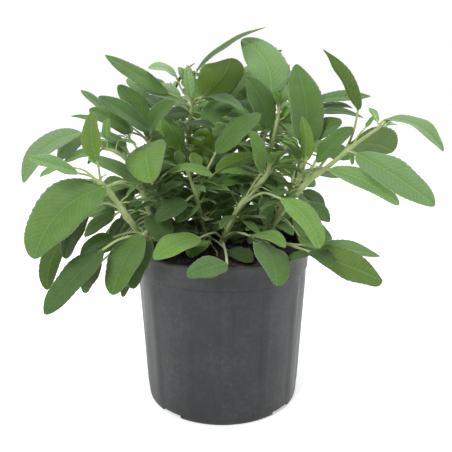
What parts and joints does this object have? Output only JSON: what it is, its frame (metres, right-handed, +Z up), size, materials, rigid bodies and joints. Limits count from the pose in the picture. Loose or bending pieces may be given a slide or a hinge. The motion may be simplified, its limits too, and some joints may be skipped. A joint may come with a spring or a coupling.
{
  "type": "potted salvia",
  "caption": "Bushy culinary salvia, grey-green oval leaves in opposite pairs on upright stems, rising from soil in a round black nursery pot with a stepped rim.",
  "frame": {"origin": "centre of the pot's flat underside, on the surface the pot stands on", "axes": "+Z up, +X to the right and +Y away from the eye in the front view"},
  "size_m": [0.3452, 0.2959, 0.3538],
  "materials": {
    "pot_plastic": "black moulded plastic with a soft satin sheen and faint scuffs",
    "soil_mix": "dark moist peat and bark potting mix, crumbly and dull",
    "sage_green": "grey-green pebbled leaf with fine pale down, paler olive underside"
  },
  "bodies": {
    "root": {"pot": "pot_plastic", "soil": "soil_mix", "stem_front": "sage_green", "stem_right": "sage_green", "stem_upright": "sage_green", "stem_centre": "sage_green", "stem_high": "sage_green", "stem_left": "sage_green", "stem_low_left": "sage_green", "stem_skirt": "sage_green", "stem_inner": "sage_green", "stem_slope": "sage_green", "stem_back_right": "sage_green", "stem_back_tall": "sage_green", "stem_back": "sage_green", "stem_back_high": "sage_green", "stem_back_left": "sage_green", "stem_back_low": "sage_green"}
  },
  "joints": []
}
